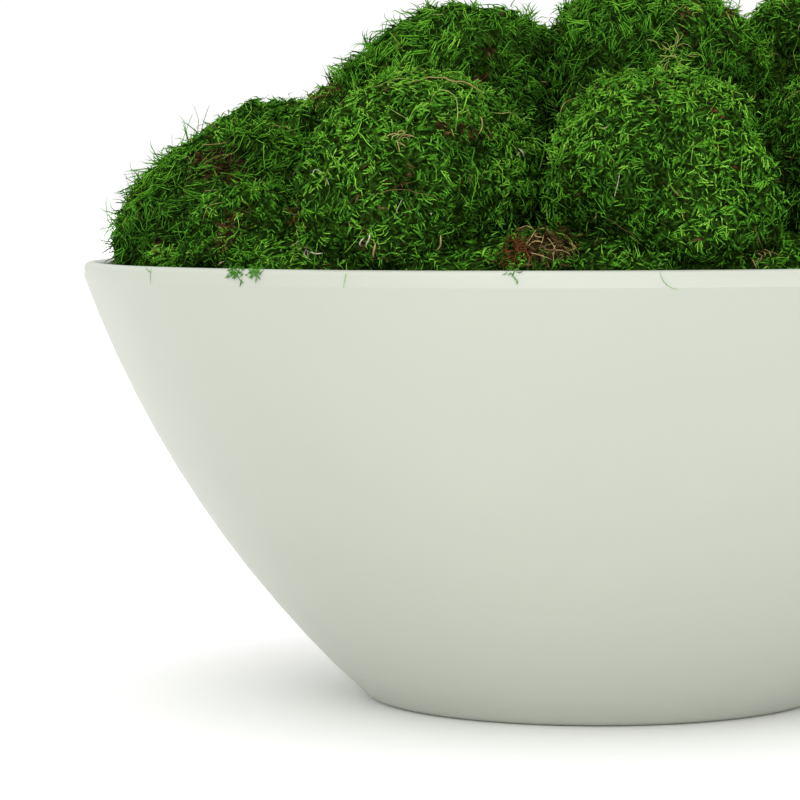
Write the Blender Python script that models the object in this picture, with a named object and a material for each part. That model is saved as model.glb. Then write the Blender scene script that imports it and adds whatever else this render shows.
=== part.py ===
"""Moss bowl garden.

A round glazed bowl holds a crowned bed of foam, and cushions of moss are packed on
the bed: a ring of them just inside the rim and a higher group in the middle. The
bowl stands on the plane z = 0 with its axis on Z, and the front faces -Y.
All sizes are in metres and all angles in degrees.
"""

import math
import random
from typing import NamedTuple

import bmesh
import bpy
from mathutils import Vector, noise

# Bowl
RIM_RADIUS = 0.254
BOWL_HEIGHT = 0.219
WALL = 0.0075
FLOOR = 0.010
LIP_BAND = 0.0075
LIP_ROUND = 0.003
WALL_ANGLE_TOP = 19.7
WALL_ANGLE_FOOT = 47.1
FOOT_FILLET = 0.011
FOOT_RING = 0.014
FOOT_RECESS = 0.0025
SEGMENTS = 60
WALL_STEPS = 6
FILLET_STEPS = 2
LIP_STEPS = 2
SHARP_EDGE = 40

# Foam bed
SEAT_GAP = 0.0003
BED_EDGE_DROP = 0.017
BED_CROWN = 0.045
BED_STEPS = 6

# Moss cushions
MOSS_RADIUS = 0.2435
MOUND_GAP = 0.0006
WALL_CLEARANCE = 0.0012
HEART_HEIGHT = 0.42
PRESS_ROUNDING = 14
PLAN_FULLNESS = 3.0
RIM_PRESS = 0.006
LUMP_SHARE = 0.11
LUMP_SCALE = 2.3
TUFT_SPACING = 0.0176
TUFT_DEPTH = (0.0055, 0.0095)
TIP_DROOP = 0.03
TIP_LEAN = (0.2, 0.5)
TUFT_SCATTER = 0.35
PRESSED_SHARE = 0.985
SEED = 20

# Materials: linear colour and roughness
GLAZE = ((0.66, 0.69, 0.60), 0.35)
FOAM = ((0.035, 0.045, 0.020), 0.9)
MOSS = ((0.07, 0.20, 0.025), 0.8)
DRY_MOSS = ((0.10, 0.13, 0.035), 0.85)
DRY_PREFIX = "moss_small"

WELD = 1e-6
LONGEST_RAY = 0.3
HALVINGS = 20
GOLDEN_ANGLE = math.pi * (3 - math.sqrt(5))


class Mound(NamedTuple):
    """One moss cushion: where it sits on the bed, its half sizes and how high its top is."""

    name: str
    bearing: float
    distance: float
    half_width: float
    half_depth: float
    top: float
    fullness: float


class Plane(NamedTuple):
    """A flat side that a cushion stays behind: a point on it and the way it faces."""

    point: Vector
    outward: Vector


def ring_mound(name, bearing, half_width, half_depth, top, fullness):
    """A cushion whose outer side reaches the edge of the moss, inside the rim."""
    distance = MOSS_RADIUS + RIM_PRESS - half_depth
    return Mound(name, bearing, distance, half_width, half_depth, top, fullness)


# The bearing is measured round the axis from the front, -Y, towards the right, +X.
# The top is measured above the rim.
MOUNDS = (
    ring_mound("moss_front_left", -25.3, 0.0575, 0.071, 0.091, 2.4),
    ring_mound("moss_front_middle", 9.0, 0.057, 0.071, 0.090, 2.8),
    ring_mound("moss_front_right", 43.5, 0.062, 0.071, 0.091, 2.4),
    ring_mound("moss_right", 79.0, 0.063, 0.068, 0.086, 2.3),
    ring_mound("moss_right_rear", 112.5, 0.063, 0.070, 0.090, 2.5),
    ring_mound("moss_rear_right", 146.5, 0.062, 0.072, 0.092, 2.3),
    ring_mound("moss_rear", 181.0, 0.063, 0.072, 0.088, 2.6),
    ring_mound("moss_rear_left", 214.5, 0.062, 0.072, 0.091, 2.3),
    ring_mound("moss_left_rear", 248.5, 0.066, 0.080, 0.084, 2.0),
    ring_mound("moss_left", 282.5, 0.066, 0.074, 0.069, 1.8),
    Mound("moss_small_front", -6.0, 0.2220, 0.029, 0.031, 0.022, 2.0),
    Mound("moss_small_left", -49.5, 0.2030, 0.036, 0.043, 0.041, 2.2),
    Mound("moss_small_right", 61.5, 0.2170, 0.030, 0.033, 0.032, 2.0),
    Mound("moss_small_rear", 163.5, 0.2180, 0.030, 0.032, 0.029, 2.0),
    Mound("moss_small_rear_left", 232.0, 0.2150, 0.032, 0.034, 0.035, 2.0),
    Mound("moss_small_inner_left", -92.0, 0.1270, 0.032, 0.034, 0.093, 2.0),
    Mound("moss_crown_left", -50.0, 0.082, 0.073, 0.076, 0.127, 2.1),
    Mound("moss_crown_front", 23.5, 0.064, 0.068, 0.072, 0.139, 2.2),
    Mound("moss_crown_right", 86.0, 0.113, 0.068, 0.070, 0.134, 2.3),
    Mound("moss_crown_rear", 143.0, 0.080, 0.070, 0.074, 0.129, 2.2),
    Mound("moss_crown_rear_left", 214.0, 0.076, 0.076, 0.076, 0.121, 2.2),
)


def clear_scene():
    """Remove whatever objects the scene holds."""
    for found in list(bpy.data.objects):
        bpy.data.objects.remove(found)


def make_material(name, finish):
    """A plain Principled material from a colour and a roughness, not metallic."""
    colour, roughness = finish
    material = bpy.data.materials.new(name)
    material.use_nodes = True
    shader = material.node_tree.nodes["Principled BSDF"]
    shader.inputs["Base Color"].default_value = (*colour, 1.0)
    shader.inputs["Roughness"].default_value = roughness
    shader.inputs["Metallic"].default_value = 0.0
    return material


def add_object(name, mesh, material):
    """Put a mesh in the scene as one named object."""
    mesh.materials.append(material)
    made = bpy.data.objects.new(name, mesh)
    bpy.context.scene.collection.objects.link(made)
    return made


def lathe(name, profile, material):
    """Turn an outline of (radius, height) points about Z. It starts and ends on the axis."""
    shape = bmesh.new()
    points = [shape.verts.new((radius, 0, height)) for radius, height in profile]
    edges = [shape.edges.new(pair) for pair in zip(points, points[1:])]
    bmesh.ops.spin(
        shape,
        geom=points + edges,
        cent=(0, 0, 0),
        axis=(0, 0, 1),
        angle=2 * math.pi,
        steps=SEGMENTS,
        use_merge=True,
    )
    bmesh.ops.remove_doubles(shape, verts=shape.verts, dist=WELD)
    bmesh.ops.recalc_face_normals(shape, faces=shape.faces)
    mesh = bpy.data.meshes.new(name)
    shape.to_mesh(mesh)
    shape.free()
    mesh.shade_smooth()
    mesh.set_sharp_from_angle(angle=math.radians(SHARP_EDGE))
    return add_object(name, mesh, material)


def wall_bend():
    """Radius and centre (radius, height) of the arc that the wall's outer face follows."""
    upper, lower = math.radians(WALL_ANGLE_TOP), math.radians(WALL_ANGLE_FOOT)
    arc_top = BOWL_HEIGHT - LIP_BAND
    arc_foot = FOOT_FILLET * (1 - math.sin(lower))
    bend = (arc_top - arc_foot) / (math.sin(lower) - math.sin(upper))
    centre = (RIM_RADIUS - bend * math.cos(upper), arc_top + bend * math.sin(upper))
    return bend, centre


def wall_arc(depth, lower):
    """Points down the wall at a depth under its outer face, to an angle below level."""
    bend, centre = wall_bend()
    radius = bend - depth
    upper = math.radians(WALL_ANGLE_TOP)
    angles = [upper + (lower - upper) * i / WALL_STEPS for i in range(WALL_STEPS + 1)]
    return [(centre[0] + radius * math.cos(a), centre[1] - radius * math.sin(a)) for a in angles]


def wall_arc_to_height(depth, height):
    """Points down the wall at a depth under its outer face, stopping at a height."""
    bend, centre = wall_bend()
    return wall_arc(depth, math.asin((centre[1] - height) / (bend - depth)))


def round_corner(centre, radius, start, end, steps):
    """Points on an arc about a centre (radius, height), from one angle to another."""
    angles = [math.radians(start + (end - start) * i / steps) for i in range(steps + 1)]
    return [(centre[0] + radius * math.cos(a), centre[1] + radius * math.sin(a)) for a in angles]


def bowl_profile():
    """Outline of the bowl, from the floor's centre over the rim to the foot's centre."""
    inner = wall_arc_to_height(WALL, FLOOR)
    outer = wall_arc(0, math.radians(WALL_ANGLE_FOOT))
    mouth = inner[0][0]
    lip_height = BOWL_HEIGHT - LIP_ROUND
    inner_lip = round_corner((mouth + LIP_ROUND, lip_height), LIP_ROUND, 180, 90, LIP_STEPS)
    outer_lip = round_corner((RIM_RADIUS - LIP_ROUND, lip_height), LIP_ROUND, 90, 0, LIP_STEPS)
    foot_radius = outer[-1][0] - FOOT_FILLET * math.cos(math.radians(WALL_ANGLE_FOOT))
    fillet = round_corner(
        (foot_radius, FOOT_FILLET), FOOT_FILLET, -WALL_ANGLE_FOOT, -90, FILLET_STEPS
    )
    recess = foot_radius - FOOT_RING
    foot = [(recess, 0), (recess - FOOT_RECESS, FOOT_RECESS), (0, FOOT_RECESS)]
    return [(0, FLOOR)] + inner[::-1] + inner_lip + outer_lip + outer + fillet[1:] + foot


def bed_side():
    """Points down the bed's side, a seat's gap inside the bowl's wall, from the bed's edge."""
    first, second, *others = wall_arc_to_height(WALL + SEAT_GAP, FLOOR + SEAT_GAP)
    height = BOWL_HEIGHT - BED_EDGE_DROP
    share = (first[1] - height) / (first[1] - second[1])
    return [(first[0] + share * (second[0] - first[0]), height), second, *others]


def crown_height(radius):
    """Height of the bed's crowned top at a distance from the axis."""
    edge = bed_side()[0][0]
    return BOWL_HEIGHT + BED_CROWN - (BED_CROWN + BED_EDGE_DROP) * (radius / edge) ** 2


def bed_profile():
    """Outline of the foam bed, from its crown down inside the wall to the floor."""
    side = bed_side()
    radii = [side[0][0] * i / BED_STEPS for i in range(BED_STEPS)]
    crown = [(radius, crown_height(radius)) for radius in radii]
    return crown + side + [(0, FLOOR + SEAT_GAP)]


def foot_point(mound):
    """Where a cushion's middle meets the top of the bed."""
    turn = math.radians(mound.bearing)
    x, y = mound.distance * math.sin(turn), -mound.distance * math.cos(turn)
    return Vector((x, y, crown_height(mound.distance)))


def heart(mound):
    """The point inside a cushion that its surface is measured from."""
    foot = foot_point(mound)
    top = BOWL_HEIGHT + mound.top
    return Vector((foot.x, foot.y, foot.z + HEART_HEIGHT * (top - foot.z)))


def bed_plane(mound):
    """The plane that a cushion rests on: it touches the crown under the cushion."""
    foot = foot_point(mound)
    edge = bed_side()[0][0]
    slope = 2 * (BED_CROWN + BED_EDGE_DROP) / edge**2
    upward = Vector((slope * foot.x, slope * foot.y, 1)).normalized()
    return Plane(foot + upward * SEAT_GAP, -upward)


def contact_plane(mound, other):
    """The flat side where two cushions press together, shared out by their sizes."""
    here = heart(mound)
    across = heart(other) - here
    share = mound.half_width / (mound.half_width + other.half_width)
    outward = across.normalized()
    return Plane(here + across * share - outward * MOUND_GAP / 2, outward)


def in_bowl(point):
    """Whether a point clears the bowl's inner wall, and the round edge of the moss above it."""
    bend, centre = wall_bend()
    drop = centre[1] - point.z
    wall = centre[0] + math.sqrt(max(0.0, (bend - WALL) ** 2 - drop * drop))
    return math.hypot(point.x, point.y) < min(wall - WALL_CLEARANCE, MOSS_RADIUS)


def in_dome(mound, point):
    """Whether a point is in the free cushion: a superellipsoid dome, upright below its base."""
    offset = point - foot_point(mound)
    turn = math.radians(mound.bearing)
    outward = Vector((math.sin(turn), -math.cos(turn), 0))
    sideways = Vector((math.cos(turn), math.sin(turn), 0))
    along = abs(offset.dot(outward) / mound.half_depth) ** PLAN_FULLNESS
    across = abs(offset.dot(sideways) / mound.half_width) ** PLAN_FULLNESS
    level = (along + across) ** (1 / PLAN_FULLNESS)
    base = crown_height(mound.distance + mound.half_depth)
    rise = max(0.0, (point.z - base) / (BOWL_HEIGHT + mound.top - base))
    return level**mound.fullness + rise**mound.fullness < 1


def reach_within(start, direction, is_inside):
    """How far a ray goes from a point before it leaves a convex region, found by halving."""
    near, far = 0.0, LONGEST_RAY
    for _ in range(HALVINGS):
        middle = (near + far) / 2
        if is_inside(start + direction * middle):
            near = middle
        else:
            far = middle
    return near


def dome_reach(mound, start, direction, seed):
    """How far the free cushion reaches in a direction, with its low lumps."""
    reach = reach_within(start, direction, lambda point: in_dome(mound, point))
    lumps = noise.noise(direction * LUMP_SCALE + Vector((seed, 0, 0)))
    return reach * (1 + LUMP_SHARE * lumps)


def nearest_contact(contacts, start, direction):
    """How far a ray goes before it meets a neighbour or the bed, and which neighbour it is."""
    nearest = LONGEST_RAY, None
    for plane, neighbour in contacts:
        facing = direction.dot(plane.outward)
        reach = (plane.point - start).dot(plane.outward) / max(facing, WELD)
        if reach < nearest[0]:
            nearest = reach, neighbour
    return nearest


def spread_directions(count, random_source):
    """Even directions on a ball, each a little off its place."""
    found = []
    for i in range(count):
        height = 1 - (2 * i + 1) / count
        turn = i * GOLDEN_ANGLE
        level = math.sqrt(1 - height * height)
        scatter = TUFT_SCATTER / math.sqrt(count)
        shift = [random_source.uniform(-scatter, scatter) for _ in range(3)]
        point = Vector((level * math.cos(turn), level * math.sin(turn), height))
        found.append((point + Vector(shift)).normalized())
    return found


def add_mound(index, mound, material):
    """Build one cushion: a lumpy dome, pressed flat by what it meets, under pointed tufts."""
    random_source = random.Random(SEED + index)
    start = heart(mound)
    contacts = [(contact_plane(mound, other), other) for other in MOUNDS if other is not mound]
    contacts.append((bed_plane(mound), None))

    def reaches(direction):
        free = dome_reach(mound, start, direction, SEED + index)
        edge = reach_within(start, direction, in_bowl)
        contact, neighbour = nearest_contact(contacts, start, direction)
        reach = sum(limit**-PRESS_ROUNDING for limit in (free, edge, contact)) ** (-1 / PRESS_ROUNDING)
        point = start + direction * reach
        is_touched = neighbour is None or in_dome(neighbour, point)
        is_pressed = is_touched and contact * PRESSED_SHARE < min(free, edge)
        is_on_wall = edge < free and point.z < BOWL_HEIGHT
        return reach, not is_pressed and not is_on_wall

    size = (mound.half_width + mound.half_depth) / 2
    count = round(4 * math.pi * size**2 / TUFT_SPACING**2)
    shape = bmesh.new()
    for direction in spread_directions(count, random_source):
        shape.verts.new(direction)
    bmesh.ops.convex_hull(shape, input=shape.verts)
    open_faces = [face for face in shape.faces if reaches(face.calc_center_median().normalized())[1]]
    tips = set(bmesh.ops.poke(shape, faces=open_faces)["verts"])
    directions = [
        lean(vertex, random_source) if vertex in tips else vertex.co.normalized()
        for vertex in shape.verts
    ]
    for vertex, direction in zip(shape.verts, directions):
        reach, is_open = reaches(direction)
        if vertex in tips:
            reach *= 1 - random_source.uniform(0, TIP_DROOP)
        elif is_open:
            reach -= random_source.uniform(*TUFT_DEPTH)
        vertex.co = start + direction * reach
    bmesh.ops.recalc_face_normals(shape, faces=shape.faces)
    mesh = bpy.data.meshes.new(mound.name)
    shape.to_mesh(mesh)
    shape.free()
    return add_object(mound.name, mesh, material)


def lean(tip, random_source):
    """The direction of a tuft's tip, moved off the middle of the three points round its root."""
    roots = [edge.other_vert(tip).co.normalized() for edge in tip.link_edges]
    shares = [random_source.uniform(*TIP_LEAN) for _ in roots]
    return sum((root * share for root, share in zip(roots, shares)), Vector()).normalized()


def build():
    """Build the bowl, the bed and every cushion."""
    clear_scene()
    moss = make_material("moss", MOSS)
    dry_moss = make_material("dry_moss", DRY_MOSS)
    lathe("bowl", bowl_profile(), make_material("glaze", GLAZE))
    lathe("foam_bed", bed_profile(), make_material("foam", FOAM))
    for index, mound in enumerate(MOUNDS):
        add_mound(index, mound, dry_moss if mound.name.startswith(DRY_PREFIX) else moss)


build()
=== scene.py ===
"""Moss bowl garden: the looks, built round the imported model.

A glazed bowl is filled with cushions of preserved moss. The bowl is turned again with a
fine profile and a satin glaze. Each moss cushion becomes a dark mat with coats of curved
shoots, laid by one node tree whose inputs tell sheet moss, grassy moss, combed mood moss
and dry moss apart. Twigs, pale curls and stray hairs are swept along paths on the moss.
All sizes are in metres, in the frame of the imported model.
"""

import logging
import math
import random
from collections.abc import Iterable, Mapping, Sequence
from dataclasses import dataclass, field, fields, replace
from enum import Enum

import bmesh
import bpy
from mathutils import Matrix, Vector, noise
from mathutils.bvhtree import BVHTree


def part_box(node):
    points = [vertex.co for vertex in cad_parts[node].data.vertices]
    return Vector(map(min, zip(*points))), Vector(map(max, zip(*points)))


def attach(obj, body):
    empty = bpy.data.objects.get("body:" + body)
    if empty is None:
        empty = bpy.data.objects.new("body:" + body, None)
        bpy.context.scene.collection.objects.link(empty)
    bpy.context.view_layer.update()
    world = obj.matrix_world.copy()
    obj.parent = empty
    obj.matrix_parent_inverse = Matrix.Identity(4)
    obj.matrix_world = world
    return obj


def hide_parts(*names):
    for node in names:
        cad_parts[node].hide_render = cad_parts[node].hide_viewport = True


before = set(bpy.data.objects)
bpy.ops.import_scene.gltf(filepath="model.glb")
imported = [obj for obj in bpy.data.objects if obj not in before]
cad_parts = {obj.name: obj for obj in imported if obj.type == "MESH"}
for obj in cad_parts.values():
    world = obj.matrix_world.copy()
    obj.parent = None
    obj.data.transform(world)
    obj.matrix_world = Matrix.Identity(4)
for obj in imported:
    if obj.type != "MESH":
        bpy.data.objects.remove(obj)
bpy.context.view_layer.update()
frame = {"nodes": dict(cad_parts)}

LOG = logging.getLogger("moss_bowl_garden")
BODY = "root"
HUE_MAP = "OFBake"
WELD = 1e-5
PHOTO_SIDE = 800

Colour = tuple[float, float, float]
Stop = tuple[float, Colour]
Pixel = tuple[float, float]


def smooth_step(value: float, low: float, high: float) -> float:
    """Ease a value from 0 to 1 between two limits.

    Args:
        value: The number to ease.
        low: Where the result leaves 0.
        high: Where the result reaches 1.

    Returns:
        A number from 0 to 1.
    """
    share = min(1.0, max(0.0, (value - low) / (high - low)))
    return share * share * (3 - 2 * share)


def report(piece: bpy.types.Object) -> None:
    """Log a finished piece and its number of triangles."""
    triangles = sum(len(face.vertices) - 2 for face in piece.data.polygons)
    LOG.info("%s: %d triangles", piece.name, triangles)


def link_mesh(name: str, shape: bmesh.types.BMesh) -> bpy.types.Object:
    """Turn a bmesh into an object in the scene, and free it.

    Args:
        name: The object's name.
        shape: The bmesh.

    Returns:
        The object.
    """
    mesh = bpy.data.meshes.new(name)
    shape.to_mesh(mesh)
    shape.free()
    made = bpy.data.objects.new(name, mesh)
    bpy.context.scene.collection.objects.link(made)
    return made


def dress(piece: bpy.types.Object, slot: str, *nodes: str) -> bpy.types.Object:
    """Let a piece ride on the body, and hide the solids that it stands for.

    Args:
        piece: The finished piece.
        slot: The record's material slot; not used.
        nodes: The solids that it replaces.

    Returns:
        The same piece.
    """
    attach(piece, BODY)
    if nodes:
        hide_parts(*nodes)
    return piece


class NodeSheet:
    """A node tree being drawn up, with short calls for the nodes that it uses most."""

    def __init__(self, tree: bpy.types.NodeTree) -> None:
        """Start on a tree.

        Args:
            tree: The tree that the nodes are added to.
        """
        self.tree = tree

    def node(self, kind: str, inputs: Mapping | None = None, **settings: object) -> bpy.types.Node:
        """Add a node.

        Args:
            kind: The node's class.
            inputs: Values or sockets by the input's name, identifier or index.
            settings: The node's own properties.

        Returns:
            The new node.
        """
        made = self.tree.nodes.new(kind)
        for name, value in settings.items():
            setattr(made, name, value)
        for key, value in (inputs or {}).items():
            self.feed(self.find_input(made, key), value)
        return made

    @staticmethod
    def find_input(node: bpy.types.Node, key: str | int) -> bpy.types.NodeSocket:
        """Find an enabled input of a node by its name, identifier or index."""
        if isinstance(key, int):
            return node.inputs[key]
        return next(s for s in node.inputs if s.enabled and key in (s.name, s.identifier))

    def feed(self, socket: bpy.types.NodeSocket, value: object) -> None:
        """Link a socket to an input, or set the input's own value."""
        if isinstance(value, bpy.types.NodeSocket):
            self.tree.links.new(value, socket)
        else:
            socket.default_value = value

    @staticmethod
    def first(node: bpy.types.Node) -> bpy.types.NodeSocket:
        """The first output of a node that is in use."""
        return next(s for s in node.outputs if s.enabled)

    def math(self, operation: str, *values: object) -> bpy.types.NodeSocket:
        """Add a Math node and return its output."""
        made = self.node("ShaderNodeMath", dict(enumerate(values)), operation=operation)
        return made.outputs[0]

    def vector(self, operation: str, *values: object) -> bpy.types.NodeSocket:
        """Add a Vector Math node and return the output that its operation uses."""
        made = self.node("ShaderNodeVectorMath", operation=operation)
        for index, value in enumerate(values):
            key = "Scale" if operation == "SCALE" and index == 1 else index
            self.feed(self.find_input(made, key), value)
        return self.first(made)

    def add(self, *vectors: object) -> bpy.types.NodeSocket:
        """Add up several vectors."""
        total = vectors[0]
        for part in vectors[1:]:
            total = self.vector("ADD", total, part)
        return total

    def scale(self, vector: object, factor: object) -> bpy.types.NodeSocket:
        """Scale a vector."""
        return self.vector("SCALE", vector, factor)

    def across(self, vector: object, axis: object) -> bpy.types.NodeSocket:
        """The part of a vector square to an axis, at unit length."""
        flat = self.vector("SUBTRACT", vector, self.vector("PROJECT", vector, axis))
        return self.vector("NORMALIZE", flat)

    def map_range(
        self, value: object, low: object, high: object, to_low: object, to_high: object
    ) -> bpy.types.NodeSocket:
        """Add a clamped Map Range node and return its output."""
        limits = {"From Min": low, "From Max": high, "To Min": to_low, "To Max": to_high}
        return self.node("ShaderNodeMapRange", {"Value": value, **limits}).outputs[0]

    def combine(self, x: object, y: object, z: object) -> bpy.types.NodeSocket:
        """Join three numbers in a vector."""
        return self.node("ShaderNodeCombineXYZ", {0: x, 1: y, 2: z}).outputs[0]

    def split(self, vector: object) -> Sequence[bpy.types.NodeSocket]:
        """Split a vector in three numbers."""
        return self.node("ShaderNodeSeparateXYZ", {0: vector}).outputs

    def ramp(self, value: object, stops: Sequence[Stop]) -> bpy.types.NodeSocket:
        """Add a colour ramp.

        Args:
            value: The socket that drives it.
            stops: Positions with linear colours, in order.

        Returns:
            The colour output.
        """
        made = self.node("ShaderNodeValToRGB", {0: value})
        elements = made.color_ramp.elements
        for index, (place, colour) in enumerate(stops):
            element = elements[index] if index < 2 else elements.new(place)
            element.position = place
            element.color = (*colour, 1.0)
        return made.outputs[0]

    def mix(self, blend: str, factor: object, a: object, b: object) -> bpy.types.NodeSocket:
        """Mix two colours by a blend type and return the colour output."""
        made = self.node("ShaderNodeMix", data_type="RGBA", blend_type=blend)
        for name, value in (("Factor", factor), ("A", a), ("B", b)):
            self.feed(self.find_input(made, name), value)
        return self.first(made)

    def noise(self, place: object, scale: object, detail: float = 2.0) -> bpy.types.Node:
        """Add a 3D noise texture over a place."""
        return self.node("ShaderNodeTexNoise", {"Vector": place, "Scale": scale, "Detail": detail})


def start_material(name: str) -> tuple[bpy.types.Material, NodeSheet, bpy.types.Node]:
    """Start a node material.

    Args:
        name: The material's name.

    Returns:
        The material, the sheet of its nodes and its shader.
    """
    material = bpy.data.materials.new(name)
    material.use_nodes = True
    tree = material.node_tree
    return material, NodeSheet(tree), tree.nodes["Principled BSDF"]


@dataclass(frozen=True)
class MossFinish:
    """The moss's colours: a hue for each shoot, with painted shade at its root and a painted highlight at its tip."""

    name: str = "moss"
    roughness: float = 0.7
    specular: float = 0.0
    leaf_rows: float = 4.0
    leaf_shade: float = 0.38
    hues: tuple[Stop, ...] = (
        (0.00, (0.130, 0.038, 0.010)),
        (0.03, (0.195, 0.145, 0.052)),
        (0.07, (0.045, 0.025, 0.010)),
        (0.13, (0.050, 0.055, 0.014)),
        (0.18, (0.026, 0.085, 0.008)),
        (0.40, (0.070, 0.240, 0.020)),
        (0.65, (0.132, 0.425, 0.027)),
        (0.86, (0.262, 0.610, 0.058)),
        (0.93, (0.380, 0.430, 0.120)),
        (0.96, (0.450, 0.325, 0.130)),
        (0.99, (0.560, 0.520, 0.400)),
    )
    # Painted shade and highlight: lightness along a shoot, near black at the root where the moss shades it, brightest
    # at the tip.
    root_shade_tip_highlight: tuple[Stop, ...] = (
        (0.00, (0.09, 0.09, 0.09)),
        (0.06, (0.28, 0.28, 0.28)),
        (0.35, (0.83, 0.83, 0.83)),
        (1.00, (1.10, 1.10, 1.10)),
    )
    # The mat's turf: dark old growth, darkened further as painted deep shade between the shoots; the rotten turf
    # below is darkened the same way.
    shaded_turf: tuple[Stop, ...] = (
        (0.50, (0.003, 0.008, 0.001)),
        (0.58, (0.008, 0.020, 0.002)),
        (0.66, (0.017, 0.048, 0.005)),
        (0.76, (0.036, 0.105, 0.009)),
    )
    rot: tuple[Stop, ...] = (
        (0.50, (0.008, 0.006, 0.003)),
        (0.60, (0.024, 0.014, 0.006)),
        (0.68, (0.070, 0.034, 0.013)),
        (0.76, (0.110, 0.080, 0.030)),
    )
    weave_turns: tuple[float, ...] = (0.2, 0.9, 1.7, 2.5)
    weave_scale: float = 46.0
    weave_length: float = 4.0

    def make(self) -> bpy.types.Material:
        """Build the material. Its colour follows the piece's own map and nothing else.

        The map's upper half holds the shoots, with painted shade at their roots; its lower half the mat's turf, dark
        as painted deep shade.

        Returns:
            The material.
        """
        material, sheet, shader = start_material(self.name)
        place = sheet.node("ShaderNodeUVMap", uv_map=HUE_MAP).outputs[0]
        across, up, _ = sheet.split(place)
        along = sheet.math("MULTIPLY_ADD", up, 2.0, -1.0)
        wave = sheet.math("SINE", sheet.math("MULTIPLY", along, self.leaf_rows * 2 * math.pi))
        rows = sheet.math("MULTIPLY_ADD", wave, self.leaf_shade / 2, 1 - self.leaf_shade / 2)
        # Each shoot's hue times its painted root shade and painted tip highlight.
        shoots = sheet.mix("MULTIPLY", 1.0, sheet.ramp(across, self.hues), sheet.ramp(along, self.root_shade_tip_highlight))
        is_mat = sheet.math("LESS_THAN", up, 0.5)
        colour = sheet.mix("MIX", is_mat, sheet.scale(shoots, rows), self.draw_turf(sheet, place, across))
        sheet.feed(shader.inputs["Base Color"], colour)
        shader.inputs["Roughness"].default_value = self.roughness
        shader.inputs["Specular IOR Level"].default_value = self.specular
        return material

    def draw_turf(
        self, sheet: NodeSheet, place: bpy.types.NodeSocket, across: bpy.types.NodeSocket
    ) -> bpy.types.NodeSocket:
        """Draw the mat's weave of small leaves, dark as painted deep shade, green on the left and rotten on the
        right.

        Args:
            sheet: The sheet of the material's nodes.
            place: The place on the map.
            across: How far to the right it is.

        Returns:
            The colour's socket.
        """
        weave = 0.0
        for turn in self.weave_turns:
            inputs = {"Vector": place, "Rotation": (0.0, 0.0, turn), "Scale": (1.0, self.weave_length, 1.0)}
            turned = sheet.node("ShaderNodeMapping", inputs, vector_type="TEXTURE").outputs[0]
            weave = sheet.math("MAXIMUM", weave, sheet.noise(turned, self.weave_scale, 1.0).outputs[0])
        is_rot = sheet.math("GREATER_THAN", across, 0.5)
        return sheet.mix("MIX", is_rot, sheet.ramp(weave, self.shaded_turf), sheet.ramp(weave, self.rot))


@dataclass(frozen=True)
class GlazeFinish:
    """The bowl's satin glaze: pale, faintly green, with soft mottling."""

    name: str = "glaze"
    colour: Colour = (0.441, 0.464, 0.398)
    shade: Colour = (0.411, 0.436, 0.375)
    roughness: float = 0.34
    mottle_scale: float = 9.0
    cloud_scale: float = 2.6
    ripple: float = 0.0006

    def make(self) -> bpy.types.Material:
        """Build the material on object coordinates.

        Returns:
            The material.
        """
        material, sheet, shader = start_material(self.name)
        place = sheet.node("ShaderNodeTexCoord").outputs["Object"]
        clouds = sheet.noise(place, self.cloud_scale, 3.0).outputs[0]
        mottle = sheet.noise(place, self.mottle_scale, 5.0).outputs[0]
        share = sheet.math("ADD", sheet.math("MULTIPLY", clouds, 0.6), sheet.math("MULTIPLY", mottle, 0.4))
        eased = sheet.map_range(share, 0.38, 0.62, 0.0, 0.55)
        colour = sheet.mix("MIX", eased, (*self.colour, 1.0), (*self.shade, 1.0))
        sheet.feed(shader.inputs["Base Color"], colour)
        satin = sheet.map_range(mottle, 0.3, 0.7, self.roughness - 0.04, self.roughness + 0.05)
        sheet.feed(shader.inputs["Roughness"], satin)
        ripples = sheet.noise(place, 14.0, 1.0).outputs[0]
        bump = sheet.node("ShaderNodeBump", {"Strength": 0.25, "Distance": self.ripple, "Height": ripples})
        sheet.feed(shader.inputs["Normal"], bump.outputs[0])
        return material


@dataclass(frozen=True)
class DullFinish:
    """A dull dry finish whose colour drifts between two tones."""

    name: str
    dark: Colour
    light: Colour
    scale: float = 60.0
    roughness: float = 0.85

    def make(self) -> bpy.types.Material:
        """Build the material on object coordinates.

        Returns:
            The material.
        """
        material, sheet, shader = start_material(self.name)
        place = sheet.node("ShaderNodeTexCoord").outputs["Object"]
        share = sheet.map_range(sheet.noise(place, self.scale, 4.0).outputs[0], 0.35, 0.65, 0.0, 1.0)
        colour = sheet.mix("MIX", share, (*self.dark, 1.0), (*self.light, 1.0))
        sheet.feed(shader.inputs["Base Color"], colour)
        shader.inputs["Roughness"].default_value = self.roughness
        shader.inputs["Specular IOR Level"].default_value = 0.2
        return material


@dataclass(frozen=True)
class Coat:
    """One coat of shoots on a mat. The field names are the node tree's input names."""

    spacing: float = 0.0060
    blades: int = 8
    rings: int = 3
    length_min: float = 0.0045
    length_max: float = 0.0080
    width: float = 0.00064
    curl_min: float = 1.5
    curl_max: float = 3.4
    rise: float = 0.75
    hug: float = 0.55
    sag: float = 0.15
    flow: float = 1.1
    flow_scale: float = 38.0
    scatter: float = 0.9
    spread: float = 0.55
    clump: float = 0.0017
    lock: float = 0.75
    droop: float = 0.25
    swirl: float = 0.0
    comb: tuple[float, float, float] = (0.0, 0.0, 0.0)
    tone: float = 0.62
    tone_patch: float = 0.55
    tone_lock: float = 0.15
    tone_spread: float = 0.10
    # Painted light and shade in the next three: the hue is lifted on upward-facing shoots, lowered where the moss is
    # shut in, lowered in the mat's hollows and lifted on its ridges.
    top_light_tone: float = 0.24
    shut_in_shade_tone: float = 0.25
    lump_shade_tone: float = 0.16
    dead: float = 0.006
    pale: float = 0.002
    rot_only: float = 0.0
    rim_only: float = 0.0
    seed: int = 1


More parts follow.
